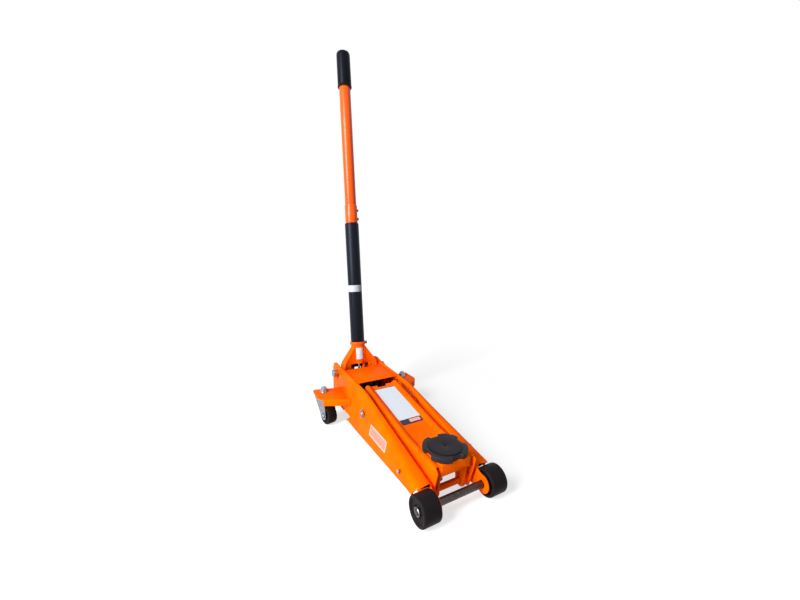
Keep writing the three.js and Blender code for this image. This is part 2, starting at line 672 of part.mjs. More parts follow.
function liftArm() {
  const pin = crankPin();
  const xs = [-430, -300, -195, -180, -165, -150, -135, -120, 0];
  const channel = common(loft(xs.map(armSection)), plateXZ(armSide(), -90, 90, 12));
  const opening = new THREE.Shape();
  opening.moveTo(40, -45.5);
  opening.lineTo(ARM.openX + 14, -45.5);
  opening.quadraticCurveTo(ARM.openX, -45.5, ARM.openX, -30);
  opening.lineTo(ARM.openX, 30);
  opening.quadraticCurveTo(ARM.openX, 45.5, ARM.openX + 14, 45.5);
  opening.lineTo(40, 45.5);
  const bosses = [1, -1].flatMap((side) => [
    bar(21, 50, 65, 'y', 26).scale(1, side, 1).translate(ARM_PIVOT.x, 0, ARM_PIVOT.z),
    bar(17, 52, ARM.half, 'y', 26).scale(1, side, 1).translate(BOLSTER_PIN.x, 0, BOLSTER_PIN.z),
  ]);
  const rodRelief = CYLINDER.rod + 4;
  const holes = [
    plateXY(opening, 60, 140, 6),
    box([ARM.rearX - 10, ARM.rearX + 11], [-rodRelief, rodRelief], [130, 170]),
    bar(PIVOT_RADIUS + GAP, -90, 90, 'y').translate(ARM_PIVOT.x, 0, ARM_PIVOT.z),
    bar(8 + GAP, -90, 90, 'y', 14).translate(pin.x, 0, pin.z),
    bar(BOLSTER_PIN.radius + GAP, -90, 90, 'y', 24).translate(BOLSTER_PIN.x, 0, BOLSTER_PIN.z),
  ];
  return cut(join(channel, ...bosses), ...holes);
}

add('lift_arm', liftArm(), ORANGE);
add('crank_pin', bar(8, -62, 62, 'y', 14).translate(crankPin().x, 0, crankPin().z), BARE_STEEL);
const pinHeads = [[60.4, 63.5], [-63.5, -60.4]].map(([a, b]) => bar(12, a, b, 'y', 24));
add('bolster_pin', join(bar(BOLSTER_PIN.radius, -61, 61, 'y', 24), ...pinHeads)
  .translate(BOLSTER_PIN.x, 0, BOLSTER_PIN.z), ORANGE);

// ---- Bolster and saddle ----
// The bolster stays level under the saddle: a cap with a front flange, and two ears that hang
// from it to the main pin and the link pin.

function bolster() {
  const cap = new THREE.Shape();
  cap.moveTo(-108, -44);
  cap.lineTo(-24, -44);
  cap.quadraticCurveTo(-17, -44, -17, -37);
  cap.lineTo(-17, 37);
  cap.quadraticCurveTo(-17, 44, -24, 44);
  cap.lineTo(-108, 44);
  const ear = new THREE.Shape();
  ear.moveTo(-104, 108);
  ear.lineTo(-84, 72);
  ear.lineTo(BOLSTER_PIN.x - 14, BOLSTER_PIN.z - 5);
  ear.absarc(BOLSTER_PIN.x, BOLSTER_PIN.z, 15.5, -2.8, 0, false);
  ear.lineTo(-26, 76);
  ear.lineTo(-17, 84);
  ear.lineTo(-17, 108);
  const ears = [[38, 44], [-44, -38]].map(([a, b]) => plateXZ(ear, a, b, 10));
  const spacers = [[36, 51.6], [-51.6, -36]].map(([a, b]) => (
    bar(15.5, a, b, 'y', 22).translate(BOLSTER_PIN.x, 0, BOLSTER_PIN.z)));
  const flange = box([-22, -17], [-42, 42], [83, 110]);
  const collar = bar(23, 86, 110, 'z').translate(SADDLE.x, 0, 0);
  const holes = [
    bar(BOLSTER_PIN.radius + GAP, -90, 90, 'y').translate(BOLSTER_PIN.x, 0, BOLSTER_PIN.z),
    bar(LINK.pin + GAP, -60, 0, 'y', 12)
      .translate(BOLSTER_PIN.x + LINK_OFFSET.x, 0, BOLSTER_PIN.z + LINK_OFFSET.z),
    bar(15 + GAP, 60, 130, 'z').translate(SADDLE.x, 0, 0),
  ];
  return cut(join(plateXY(cap, 106, 111.5, 6), ...ears, ...spacers, flange, collar), ...holes);
}

// A cast cup with four lobes around a sunk middle, on a round stem.
function saddleCasting() {
  const { radius, notch, bottom, top, lobe } = SADDLE;
  const edge = [];
  for (let k = 0; k < 4; k++) {
    const middle = Math.PI / 4 + k * Math.PI / 2;
    for (const [part, r] of [[-1.12, notch], [-1, radius - 1.5], [-0.5, radius], [0, radius], [0.5, radius],
      [1, radius - 1.5], [1.12, notch]]) {
      edge.push([r * Math.cos(middle + part * lobe), r * Math.sin(middle + part * lobe)]);
    }
  }
  const disc = plateXY(outline(edge), bottom, top - 2);
  const dish = bar(44, top - 6, top, 'z', 26);
  const stem = bar(15, 84, bottom + 1, 'z');
  return join(cut(disc, dish), stem).translate(SADDLE.x, 0, 0);
}

add('bolster', bolster(), ORANGE);
const frontPin = join(
  bar(LINK.pin, -47, LINK.y + 9, 'y', 12),
  bar(7, LINK.y + 8.6, LINK.y + 12, 'y', 14),
).translate(BOLSTER_PIN.x + LINK_OFFSET.x, 0, BOLSTER_PIN.z + LINK_OFFSET.z);
add('link_front_pin', frontPin, ZINC);
add('saddle', saddleCasting(), DARK_CAST);
const padTop = SADDLE.top;
const pad = turned([[0, padTop - 5.7], [43.5, padTop - 5.7], [43.5, padTop - 1], [42, padTop],
  [8, padTop], [5, padTop - 1.6], [0, padTop - 2]], 'z', 26).translate(SADDLE.x, 0, 0);
add('saddle_pad', pad, BLACK_RUBBER);

// ---- Levelling link ----
// A round rod with an eye at each end, parallel to the arm's line of pins.

function levellingLink() {
  const length = Math.hypot(BOLSTER_PIN.x - ARM_PIVOT.x, BOLSTER_PIN.z - ARM_PIVOT.z);
  const fall = Math.atan2(ARM_PIVOT.z - BOLSTER_PIN.z, BOLSTER_PIN.x - ARM_PIVOT.x);
  const eye = bar(LINK.eye, -8, 8, 'y', 20);
  const rod = bar(LINK.rod, 4, length - 4, 'x', 14);
  const holes = [0, length].map((x) => bar(LINK.pin + GAP, -20, 20, 'y', 12).translate(x, 0, 0));
  return cut(join(rod, eye, eye.clone().translate(length, 0, 0)), ...holes)
    .rotateY(fall)
    .translate(ARM_PIVOT.x + LINK_OFFSET.x, LINK.y, ARM_PIVOT.z + LINK_OFFSET.z);
}
add('levelling_link', levellingLink(), BARE_STEEL);

// ---- Ram ----
// The fork on the ram's end has an upright slot for the crank pin, which rises and falls a
// little as it swings through its arc.

function ramFork() {
  const pin = crankPin();
  const lowest = ARM_PIVOT.z - CRANK_RADIUS;
  const slot = new THREE.Shape();
  slot.absarc(pin.x, pin.z + 1, 9.4, 0, Math.PI, false);
  slot.absarc(pin.x, lowest - 1, 9.4, Math.PI, Math.PI * 2, false);
  const cheek = new THREE.Shape();
  cheek.absarc(pin.x, pin.z, 17, -0.2, Math.PI - 0.5, false);
  cheek.lineTo(-436, 62);
  cheek.lineTo(-436, 30);
  cheek.absarc(pin.x, lowest, 17, Math.PI + 0.5, Math.PI * 2, false);
  cheek.holes.push(slot);
  const cheeks = [[14, 26], [-26, -14]].map(([a, b]) => plateXZ(cheek, a, b, 8));
  const bridge = box([-440, -424], [-26, 26], [30, 62]);
  return cut(join(...cheeks, bridge), bar(9 + GAP, -450, -430, 'x', 14).translate(0, 0, CYLINDER.z));
}
add('ram_fork', ramFork(), BARE_STEEL);
const pistonX = CYLINDER.rearX + 14;
const ramRod = join(bar(CYLINDER.rod, pistonX, -440.3, 'x', 26), bar(9, -441, -430.3, 'x', 14),
  bar(CYLINDER.rod + 4.6, pistonX, pistonX + 10, 'x', 26)).translate(0, 0, CYLINDER.z);
add('ram_rod', ramRod, BARE_STEEL);

// ---- Pump plunger ----

add('pump_plunger', join(bar(PLUNGER.head, headX, headX + 5, 'x', 24),
  bar(PLUNGER.radius, headX + 4, headX + PLUNGER.length, 'x', 14)).translate(0, ROLLER.y, pumpZ), ZINC);

// ---- Handle socket ----
// Drawn about the pivot with the handle's axis upright, then leaned back as a group.

const socketGroup = new THREE.Group();
socketGroup.position.set(SOCKET_PIVOT.x, 0, SOCKET_PIVOT.z);
socketGroup.rotation.y = -rad(HANDLE_LEAN);
jack.add(socketGroup);

// The roller's place under the pivot, in the socket's own upright frame.
const rollerTurn = rad(PUMP_TRAVEL / 2 + HANDLE_LEAN);

function atRoller(geometry) {
  return geometry.translate(0, 0, -ROLLER.drop).rotateY(rollerTurn);
}

// Two swept cheeks with round pivot eyes, a front and a rear panel welded between them, and
// the barrel that takes the handle. The front panel is arched over the pump and the release.
function handleSocket() {
  const { half, knee, top, sheet, panel, barrel } = SOCKET;
  const topY = 17.5;
  const path = [[half, -26], [half, knee], [topY, top]].map(([y, z]) => new THREE.Vector2(y, z));
  const ring = ribbon(filleted(path, [12]), sheet);
  const sideView = new THREE.Shape();
  sideView.absarc(0, 0, 22, Math.PI, Math.PI * 2, false);
  sideView.quadraticCurveTo(22, 24, panel + 1, 40);
  sideView.lineTo(panel + 1, top + 5);
  sideView.lineTo(-10, top + 5);
  sideView.quadraticCurveTo(-15, 60, -18, 36);
  sideView.quadraticCurveTo(-22, 20, -22, 0);
  const cheek = common(loft([-30, 30].map((x) => ({ x, ring }))), plateXZ(sideView, 0, 120, 12));
  const eye = bar(20, half, SIDE.rearY - SHEET - GAP, 'y', 26);

  const inner = half - 1;
  const front = new THREE.Shape();
  front.moveTo(-inner, 2);
  front.lineTo(-inner, knee);
  front.lineTo(-topY, top - 2);
  front.lineTo(topY, top - 2);
  front.lineTo(inner, knee);
  front.lineTo(inner, 2);
  front.lineTo(39, 4);
  front.lineTo(39, 20);
  front.quadraticCurveTo(39, 28, 30, 28);
  front.lineTo(-30, 28);
  front.quadraticCurveTo(-39, 28, -39, 20);
  front.lineTo(-39, 4);
  const rear = outline([[-inner, -4], [-inner, knee], [-topY, top - 2], [topY, top - 2], [inner, knee],
    [inner, -4], [13, -4], [13, 7], [-13, 7], [-13, -4]]);
  const panels = [plateYZ(front, panel - 4, panel), plateYZ(rear, -18, -14)];

  const lugs = [[-12.7, -9], [9, 12.7]].map(([a, b]) => join(
    atRoller(bar(7, ROLLER.y + a, ROLLER.y + b, 'y', 14)),
    box([-6, 6], [ROLLER.y + a, ROLLER.y + b], [-ROLLER.drop, 30]).rotateY(rollerTurn)));
  const lugBridge = box([8, panel - 1], [ROLLER.y - 12.7, ROLLER.y + 12.7], [24, 34]);
  const body = join(cheek, mirrored(cheek), eye, mirrored(eye), ...panels,
    bar(barrel, 28, 99, 'z', 30), ...lugs, lugBridge);
  const holes = [
    bar(barrel - 2.3, 34, 130, 'z', 26),
    bar(9, -14, 36, 'z', 14),
    atRoller(bar(4 + GAP, ROLLER.y - 20, ROLLER.y + 20, 'y', 12)),
    bar(SOCKET_PIVOT.radius + GAP, 50, 100, 'y', 14),
    bar(SOCKET_PIVOT.radius + GAP, -100, -50, 'y', 14),
  ];
  return cut(body, ...holes);
}
add('handle_socket', handleSocket(), ORANGE, socketGroup);

const roller = atRoller(join(bar(ROLLER.radius, ROLLER.y - 8.6, ROLLER.y + 8.6, 'y', 26),
  bar(4, ROLLER.y - 15, ROLLER.y + 15, 'y', 12)));
add('pump_roller', roller, BARE_STEEL, socketGroup);

// The bolts that the socket swings on, each with a spacer and a large head outside the plate.
const socketBolt = join(bar(SOCKET_PIVOT.radius, 60, 90, 'y', 14), bar(12, SIDE.rearY + GAP, 97, 'y', 20),
  hexagon(28, 96.5, 106, 'y')).translate(SOCKET_PIVOT.x, 0, SOCKET_PIVOT.z);
addPair('socket_bolt', socketBolt, ZINC);

// ---- Handle ----

const handleGroup = new THREE.Group();
socketGroup.add(handleGroup);

// The turning sleeve inside the socket, with its collar, and the rod that works the release.
const sleeve = turned([[HANDLE.tube + GAP, 40], [23.4, 40], [23.4, 99.4], [30, 99.4], [30.5, 101],
  [30.5, 109], [29.5, 110.5], [HANDLE.tube + GAP, 110.5], [HANDLE.tube + GAP, 40]], 'z', 26);
const turningSleeve = cut(
  join(sleeve, bar(23.4, 35, 41, 'z', 26)),
  bar(5, 20, 60, 'z', 14),
  bar(4 + GAP, 0, 40, 'y', 12).rotateZ(-rad(20)).translate(0, 0, 105));
add('turning_sleeve', turningSleeve, ORANGE, handleGroup);
add('release_rod', join(new THREE.SphereGeometry(6.5, 20, 12), bar(4.5, 0, 44, 'z', 14)), ZINC, handleGroup);
add('clamp_screw', join(bar(4, HANDLE.tube + 1, 31, 'y', 12), bar(6, 30.9, 35, 'y', 12)).rotateZ(-rad(20))
  .translate(0, 0, 105), BLACK_OXIDE, handleGroup);

// Lower tube, with the foam over it and the joint where the upper tube plugs in.
const { tube: tubeR, wall } = HANDLE;
add('lower_tube', tube(tubeR - wall, tubeR, 46, 636, 'z', 26), ORANGE, handleGroup);
const foam = turned([[tubeR + GAP, 111], [HANDLE.foam - 1.5, 111], [HANDLE.foam, 113], [HANDLE.foam, 562],
  [HANDLE.foam - 1.5, 564], [tubeR + GAP, 564], [tubeR + GAP, 111]], 'z', 32);
add('foam_sleeve', foam, FOAM, handleGroup);
add('joint_ring', turned([[tubeR + GAP, 565], [tubeR + 2, 565], [tubeR + 2.2, 567], [tubeR + 2.2, 630],
  [tubeR + 1.4, 632], [tubeR + GAP, 632], [tubeR + GAP, 565]], 'z', 32), ORANGE, handleGroup);
add('upper_tube', join(
  tube(tubeR - wall, tubeR, 636.3, 1100, 'z', 26),
  tube(tubeR - wall - 2.6, tubeR - wall - GAP, 571, 646, 'z', 26),
  tube(tubeR - wall - 2.6, tubeR, 636.3, 648, 'z', 26)), ORANGE, handleGroup);
for (const [name, z] of [['lower_snap_button', 581], ['upper_snap_button', 613]]) {
  add(name, turned([[0, tubeR + 2.5], [5, tubeR + 2.5], [4.2, tubeR + 6.5], [0, tubeR + 7.5]], 'y', 12)
    .rotateZ(-rad(14)).translate(0, 0, z), BLACK_OXIDE, handleGroup);
}
const grip = turned([[0, 1102], [tubeR + GAP, 1102], [tubeR + GAP, 1064], [HANDLE.grip + 0.6, 1064],
  [HANDLE.grip + 0.8, 1067], [HANDLE.grip, 1071], [HANDLE.grip - 0.4, 1180], [22, 1187],
  [16, 1190], [0, 1190]], 'z', 28);
add('grip', grip, BLACK_RUBBER, handleGroup);

export default jack;
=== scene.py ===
import math

import bpy
from mathutils import Matrix, Vector


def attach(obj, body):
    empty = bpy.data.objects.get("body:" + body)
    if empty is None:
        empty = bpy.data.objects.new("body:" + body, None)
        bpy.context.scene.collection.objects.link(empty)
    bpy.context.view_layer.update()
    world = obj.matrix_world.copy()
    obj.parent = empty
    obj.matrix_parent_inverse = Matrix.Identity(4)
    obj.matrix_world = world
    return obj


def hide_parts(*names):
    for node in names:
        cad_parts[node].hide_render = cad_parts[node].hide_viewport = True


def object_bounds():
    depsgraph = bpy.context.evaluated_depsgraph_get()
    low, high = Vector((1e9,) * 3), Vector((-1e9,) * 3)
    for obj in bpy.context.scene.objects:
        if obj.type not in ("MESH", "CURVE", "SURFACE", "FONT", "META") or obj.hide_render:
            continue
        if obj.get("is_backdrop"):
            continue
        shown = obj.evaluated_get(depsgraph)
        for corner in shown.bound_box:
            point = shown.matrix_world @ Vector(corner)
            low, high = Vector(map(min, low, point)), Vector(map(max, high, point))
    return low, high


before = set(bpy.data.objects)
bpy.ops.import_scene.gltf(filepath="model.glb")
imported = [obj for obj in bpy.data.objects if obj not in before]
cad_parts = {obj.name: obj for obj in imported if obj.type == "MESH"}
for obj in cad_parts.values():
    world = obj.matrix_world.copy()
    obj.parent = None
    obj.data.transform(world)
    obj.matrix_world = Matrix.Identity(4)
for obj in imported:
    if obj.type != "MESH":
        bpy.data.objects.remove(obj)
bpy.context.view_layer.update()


# ---- Side plates ----
# Two pressings of 5 mm steel sheet: skirt, rounded top fold, sloping flange and an inner web
# that carries the axle. They are welded up, blasted and powder coated orange.

FRONT_AXLE_X = 370.59      # millimetres from the frame's origin forward to the front axle
SHARP = 32                 # degrees between two faces from which their edge is rounded
SMOOTH = 38                # degrees between two faces up to which the shading runs on
ONE_CORNER = 0.00001       # metres within which two corners of a CAD piece are the same
ONE_FACE = 0.5             # degrees within which two faces of a CAD piece are the same


def at(x, y, z):
    """A place in metres from millimetres, with x measured from the front axle."""
    return Vector(((x + FRONT_AXLE_X) / 1000, y / 1000, z / 1000))


def colour(code):
    """An sRGB hex colour as linear red, green, blue and alpha."""
    parts = [int(code[i:i + 2], 16) / 255 for i in (1, 3, 5)]
    linear = [c / 12.92 if c <= 0.04045 else ((c + 0.055) / 1.055) ** 2.4 for c in parts]
    return (*linear, 1.0)


def node(tree, kind, inputs=None, **settings):
    """Adds a shader node with its settings; an input is a value or another node's output."""
    made = tree.nodes.new(kind)
    for key, value in settings.items():
        setattr(made, key, value)
    for key, value in (inputs or {}).items():
        if isinstance(value, bpy.types.NodeSocket):
            tree.links.new(value, made.inputs[key])
        else:
            made.inputs[key].default_value = value
    return made


def started(name):
    """A new material's node tree, and its object coordinates in metres."""
    material = bpy.data.materials.new(name)
    material.use_nodes = True
    tree = material.node_tree
    tree.nodes.clear()
    return material, tree, node(tree, "ShaderNodeTexCoord").outputs["Object"]


# Powder coat: a thick gloss skin, cured where it flowed, and a shade uneven from the gun. Its
# faint orange-peel waviness breaks up the highlights, which stay orange and weak, so that the
# colour looks full on every slope.
powder_coat, tree, coords = started("orange powder coat")
PEEL = 2.5                 # millimetres across one ripple
SWEEP = 70                 # millimetres across one pass of the spray gun
gun = node(tree, "ShaderNodeTexNoise", {"Vector": coords, "Scale": 1000 / SWEEP, "Detail": 2.0})
hue = node(tree, "ShaderNodeValToRGB", {"Fac": gun.outputs["Fac"]})
hue.color_ramp.elements[0].position = 0.3
hue.color_ramp.elements[0].color = colour("#FA5D00")
hue.color_ramp.elements[1].position = 0.7
hue.color_ramp.elements[1].color = colour("#FF6B00")
peel = node(tree, "ShaderNodeTexNoise", {"Vector": coords, "Scale": 1000 / PEEL, "Detail": 2.0})
peel_bump = node(tree, "ShaderNodeBump", {
    "Height": peel.outputs["Fac"], "Distance": 0.00008, "Strength": 0.5})
coat = node(tree, "ShaderNodeBsdfPrincipled", {
    "Base Color": hue.outputs["Color"], "Metallic": 0.22, "Roughness": 0.33, "IOR": 1.5,
    "Specular IOR Level": 0.015, "Specular Tint": colour("#FF8A3C"),
    "Normal": peel_bump.outputs["Normal"]})
node(tree, "ShaderNodeOutputMaterial", {"Surface": coat.outputs["BSDF"]})


def alone(piece):
    """Selects one piece and nothing else."""
    bpy.ops.object.select_all(action="DESELECT")
    piece.select_set(True)
    bpy.context.view_layer.objects.active = piece


def applied(piece, kind, name, **settings):
    """Gives a piece a modifier with its settings and applies it."""
    alone(piece)
    modifier = piece.modifiers.new(name, kind)
    for key, value in settings.items():
        setattr(modifier, key, value)
    bpy.ops.object.modifier_apply(modifier=modifier.name)
    return piece


def rounded(piece, width, segments=2, angle=SHARP):
    """Rounds a piece's sharp edges by a width in millimetres and shades it smooth."""
    if width:
        applied(piece, "BEVEL", "rounded edges", width=width / 1000, segments=segments,
                limit_method="ANGLE", angle_limit=math.radians(angle), use_clamp_overlap=False)
    alone(piece)
    bpy.ops.object.shade_smooth_by_angle(angle=math.radians(SMOOTH))
    return piece


def softened(part, width, segments=2):
    """A copy of a CAD piece with its seams merged and its edges rounded."""
    piece = bpy.data.objects.new(part + "_finished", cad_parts[part].data.copy())
    bpy.context.collection.objects.link(piece)
    alone(piece)
    bpy.ops.object.mode_set(mode="EDIT")
    bpy.ops.mesh.select_all(action="SELECT")
    bpy.ops.mesh.remove_doubles(threshold=ONE_CORNER)
    bpy.ops.mesh.dissolve_limited(angle_limit=math.radians(ONE_FACE))
    bpy.ops.object.mode_set(mode="OBJECT")
    return rounded(piece, width, segments)


def fitted(piece, body, slot, material, *parts):
    """Gives a piece its finish and fixes it to its body, in place of the CAD parts named."""
    piece.data.materials.clear()
    piece.data.materials.append(material)
    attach(piece, body)
    if parts:
        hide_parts(*parts)
    return piece


side_plates = {}
for side in ("left", "right"):
    plate = f"{side}_side_plate"
    side_plates[side] = fitted(softened(plate, 1.2), "frame", "orange_paint", powder_coat, plate)


# ---- Plates between the sides ----
# The base plate and the lid over the power unit, cut and folded from thinner sheet and
# coated with the side plates.

for plate in ("base_plate", "cover_plate"):
    fitted(softened(plate, 0.8), "frame", "orange_paint", powder_coat, plate)


# ---- Front axle ----
# A turned bar of drawn steel, dark with oil. It passes through the bosses of the side plates
# and is stepped down at both ends for the wheels.

# Drawn steel: pulled through a die and left bare, so it is a dark grey-brown metal with a soft
# streaky sheen and no bright spots.
drawn_steel, tree, coords = started("oiled drawn steel")
DRAWN = 3.0                # millimetres between drawing marks, coarser than the real ones
marks = node(tree, "ShaderNodeTexNoise", {"Vector": coords, "Scale": 1000 / DRAWN, "Detail": 4.0})
shade = node(tree, "ShaderNodeValToRGB", {"Fac": marks.outputs["Fac"]})
shade.color_ramp.elements[0].position = 0.35
shade.color_ramp.elements[0].color = colour("#3E3635")
shade.color_ramp.elements[1].position = 0.7
shade.color_ramp.elements[1].color = colour("#5E5553")
steel = node(tree, "ShaderNodeBsdfPrincipled", {
    "Base Color": shade.outputs["Color"], "Metallic": 1.0, "Roughness": 0.4})
node(tree, "ShaderNodeOutputMaterial", {"Surface": steel.outputs["BSDF"]})

fitted(softened("front_axle", 0.6), "frame", "bare_steel", drawn_steel, "front_axle")


# ---- Front wheels ----
# Solid wheels moulded in black nylon, with rounded shoulders and a shallow dish around the
# hub. The moulding is dull, with cloudy flow marks.

# Black nylon: moulded and run over concrete, so it is a warm near-black with a dull skin that
# shows only a faint lighter edge where the light grazes the rim.
nylon, tree, coords = started("moulded black nylon")
FLOW = 14                  # millimetres between the cloudy flow marks of the moulding
cloud = node(tree, "ShaderNodeTexNoise", {"Vector": coords, "Scale": 1000 / FLOW, "Detail": 4.0})
wear = node(tree, "ShaderNodeMapRange", {
    "Value": cloud.outputs["Fac"], "To Min": 0.4, "To Max": 0.58})
moulded = node(tree, "ShaderNodeBsdfPrincipled", {
    "Base Color": colour("#1A1517"), "Roughness": wear.outputs["Result"], "IOR": 1.53,
    "Specular IOR Level": 0.05})
node(tree, "ShaderNodeOutputMaterial", {"Surface": moulded.outputs["BSDF"]})


def turned(name, profile, segments=96):
    """A turned piece about Z: one ring, extruded through (radius, height) in millimetres."""
    bpy.ops.object.select_all(action="DESELECT")
    (radius, height), *rest = profile
    bpy.ops.mesh.primitive_circle_add(
        vertices=segments, radius=radius / 1000, location=(0, 0, height / 1000))
    piece = bpy.context.object
    piece.name = name
    bpy.ops.object.mode_set(mode="EDIT")
    bpy.ops.mesh.select_all(action="SELECT")
    for new_radius, new_height in rest:
        bpy.ops.mesh.extrude_edges_move(
            TRANSFORM_OT_translate={"value": (0, 0, (new_height - height) / 1000)})
        grow = new_radius / radius
        bpy.ops.transform.resize(value=(grow, grow, 1), center_override=(0, 0, new_height / 1000))
        radius, height = new_radius, new_height
    bpy.ops.mesh.select_all(action="SELECT")
    bpy.ops.mesh.remove_doubles(threshold=0.000002)
    bpy.ops.mesh.select_all(action="DESELECT")
    bpy.ops.mesh.select_non_manifold()
    bpy.ops.mesh.fill_holes(sides=0)
    bpy.ops.mesh.select_all(action="SELECT")
    bpy.ops.mesh.normals_make_consistent(inside=False)
    bpy.ops.object.mode_set(mode="OBJECT")
    bpy.ops.object.transform_apply(location=True, rotation=True, scale=True)
    return piece


def placed(piece, where, turn=(0, 0, 0)):
    """Moves and turns a finished shape to its place and leaves its object at the origin."""
    piece.location = where
    piece.rotation_euler = turn
    alone(piece)
    bpy.ops.object.transform_apply(location=True, rotation=True, scale=True)
    return piece


FRONT_RADIUS = 36          # millimetres, and so the height of the front axle
WHEEL_SHARP = 25           # degrees between two faces from which a wheel's edge is rounded

# Each pair is a radius and a distance out from the jack's middle, once round the wheel's wall.
for side, turn in (("left", -90), ("right", 90)):
    wheel = turned(f"{side}_front_wheel_finished", [
        (8.4, 78), (13, 78), (15, 84), (26.5, 84), (29, 76.6), (30, 76), (32.6, 76), (34.8, 77),
        (FRONT_RADIUS, 79.5), (FRONT_RADIUS, 120.5), (34.8, 123), (32.6, 124), (30, 124),
        (28.6, 123.2), (27, 119.4), (15.4, 119), (14, 116), (8.4, 116), (8.4, 78)])
    placed(wheel, at(0, 0, FRONT_RADIUS), (math.radians(turn), 0, 0))
    rounded(wheel, 0.7, angle=WHEEL_SHARP)
    fitted(wheel, f"front_wheel_{side}", "nylon", nylon, f"{side}_front_wheel")


# ---- Nuts and bolts ----
# Hexagon hardware of zinc-plated steel, rolled and headed, then barrel plated: bright, with a
# cool bluish cloudiness.

# Bright zinc: a thin plated metal over steel, so it mirrors its surroundings in soft cloudy
# patches of pale and mid blue-grey.
zinc, tree, coords = started("bright zinc plate")
CLOUD = 6                  # millimetres across one cloudy patch of the plating
patch = node(tree, "ShaderNodeTexNoise", {"Vector": coords, "Scale": 1000 / CLOUD, "Detail": 3.0})
tone = node(tree, "ShaderNodeValToRGB", {"Fac": patch.outputs["Fac"]})
tone.color_ramp.elements[0].position = 0.3
tone.color_ramp.elements[0].color = colour("#747A88")
tone.color_ramp.elements[1].position = 0.7
tone.color_ramp.elements[1].color = colour("#ABAFB9")
gloss = node(tree, "ShaderNodeMapRange", {
    "Value": patch.outputs["Fac"], "To Min": 0.22, "To Max": 0.38})
plated = node(tree, "ShaderNodeBsdfPrincipled", {
    "Base Color": tone.outputs["Color"], "Metallic": 1.0, "Roughness": gloss.outputs["Result"]})
node(tree, "ShaderNodeOutputMaterial", {"Surface": plated.outputs["BSDF"]})

for side in ("left", "right"):
    for part in ("pivot_nut", "socket_bolt", "guard_screw", "caster_stud"):
        name = f"{side}_{part}"
        fitted(softened(name, 0.6), "frame", "zinc", zinc, name)
    name = f"{side}_hub_nut"
    fitted(softened(name, 2.0, segments=4), "frame", "zinc", zinc, name)
for name in ("release_valve", "link_rear_pin"):
    fitted(softened(name, 0.3), "frame", "zinc", zinc, name)
fitted(softened("link_front_pin", 0.3), "bolster_body", "zinc", zinc, "link_front_pin")
fitted(softened("pump_plunger", 0.4), "plunger", "zinc", zinc, "pump_plunger")


# ---- Caster brackets ----
# Bent plates welded to the side plates, coated with them. The weld runs along the flange's
# root and the top plate's edge as a row of overlapping ripples.

RIPPLE = 1.6               # millimetres from one ripple of a weld to the next
HOLLOW = 0.84              # a weld's radius between two ripples, as a part of its full radius
TAPER = 0.4                # a weld's radius at its ends, as a part of its full radius


def bead(name, start, end, radius, body):
    """A weld bead of a radius in millimetres from one place to another, coated over."""
    run = end - start
    steps = max(4, round(run.length * 1000 / RIPPLE))
    profile = [(radius * TAPER, 0)]
    for step in range(1, steps):
        ripple = 1.0 if step % 2 else HOLLOW
        profile.append((radius * ripple, run.length * 1000 * step / steps))
    profile.append((radius * TAPER, run.length * 1000))
    piece = placed(turned(name, profile, 16), start, run.to_track_quat("Z", "Y").to_euler())
    return fitted(rounded(piece, 0), body, "orange_paint", powder_coat)


FLARE_START = -568         # millimetres, where the side plate starts to flare out forwards
FLARE_RUN = 104            # millimetres along which the flare grows
NARROW = 86                # millimetres from the jack's middle to the plate behind the flare
FLARE = 29                 # millimetres that the flare adds at its foot
FLARE_FOOT = 39            # millimetres from the floor to the flare's foot
FLARE_RISE = 130           # millimetres up from the foot to where the flare would end


def side_face(x, z):
    """How far out, in millimetres, the outer face of the side plate is beside the casters."""
    flare = math.sin(min(max((x - FLARE_START) / FLARE_RUN, 0), 1) * math.pi / 2)
    return NARROW + FLARE * flare * (1 - (z - FLARE_FOOT) / FLARE_RISE)


FLANGE_X = -458            # millimetres, the bracket's front flange
FLANGE_FOOT, FLANGE_TOP = 84, 105   # millimetres from the floor
BRACKET_TOP = 106          # millimetres from the floor to the bracket's top plate
PROUD = 1                  # millimetres from the side plate out to the middle of a weld

for side, sign in (("left", 1), ("right", -1)):
    name = f"{side}_caster_bracket"
    fitted(softened(name, 0.8), "frame", "orange_paint", powder_coat, name)
    foot, top = [at(FLANGE_X, sign * (side_face(FLANGE_X, height) + PROUD), height)
                 for height in (FLANGE_FOOT, FLANGE_TOP)]
    bead(f"{side}_flange_weld", foot, top, 2.4, "frame")
    stations = [at(x, sign * (side_face(x, BRACKET_TOP) + PROUD), BRACKET_TOP + 0.4)
                for x in (-572, -548, -524, -500, -478, -460)]
    for number, (start, end) in enumerate(zip(stations, stations[1:])):
        bead(f"{side}_bracket_weld_{number}", start, end, 2.0, "frame")


# ---- Casters ----
# A pressed and plated fork swivels under each bracket and trails a moulded wheel on a
# riveted axle. At rest each wheel is turned a little inwards.

CASTER_TURN = math.radians(13)
CASTER_RADIUS = 32         # millimetres, and so the height of the caster's axle
STUD_X = -562              # millimetres from the front axle back to the stud
STUD_Y = 160               # millimetres from the jack's middle out to the stud
TRAIL = 29                 # millimetres from the stud forward to the wheel's axle

